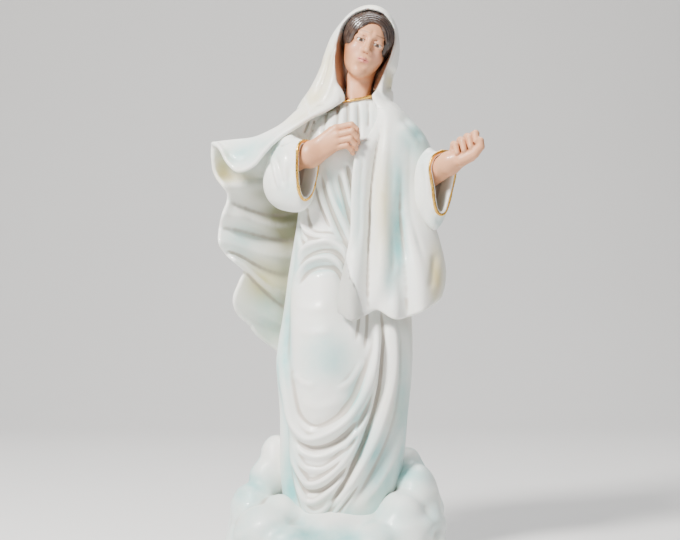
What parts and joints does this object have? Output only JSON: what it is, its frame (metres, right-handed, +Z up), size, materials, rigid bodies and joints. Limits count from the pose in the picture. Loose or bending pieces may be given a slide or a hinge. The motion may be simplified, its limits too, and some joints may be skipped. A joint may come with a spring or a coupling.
{
  "type": "madonna statue",
  "caption": "Standing robed and veiled praying figure on a cloud plinth, one hand on the chest and one held out, the veil blown to one side.",
  "frame": {"origin": "middle of the felt's underside, on the surface the figure stands on", "axes": "+Z up the figure, the figure faces -Y, and its right arm is on the -X side"},
  "size_m": [0.148, 0.0938, 0.2982],
  "materials": {
    "robe_resin": "satin hand-sprayed white over cast resin",
    "veil_resin": "satin hand-sprayed white and cream over cast resin",
    "skin_resin": "satin painted flesh tone",
    "hair_paint": "glossy dark brown paint",
    "eye_paint": "glossy painted eyes",
    "gold_paint": "brushed-on gilt paint",
    "cloud_resin": "satin white and pale aqua over cast resin",
    "cover_board": "plain grey moulded disc",
    "base_felt": "short-pile green felt",
    "dowel_wood": "plain birch dowel",
    "pin_steel": "plain steel wire"
  },
  "bodies": {
    "root": {"gown": "robe_resin", "right_sleeve": "robe_resin", "left_sleeve": "robe_resin", "veil_hood": "veil_resin", "veil_billow": "veil_resin", "veil_drape": "veil_resin", "head": "skin_resin", "right_hand": "skin_resin", "left_hand": "skin_resin", "hair": "hair_paint", "eyes": "eye_paint", "neckline_trim": "gold_paint", "right_cuff_trim": "gold_paint", "left_cuff_trim": "gold_paint", "cloud_base": "cloud_resin", "base_cover": "cover_board", "felt_pad": "base_felt", "base_dowel": "dowel_wood", "neck_dowel": "pin_steel", "right_wrist_pin": "pin_steel", "left_wrist_pin": "pin_steel", "veil_pins": "pin_steel"}
  },
  "joints": []
}
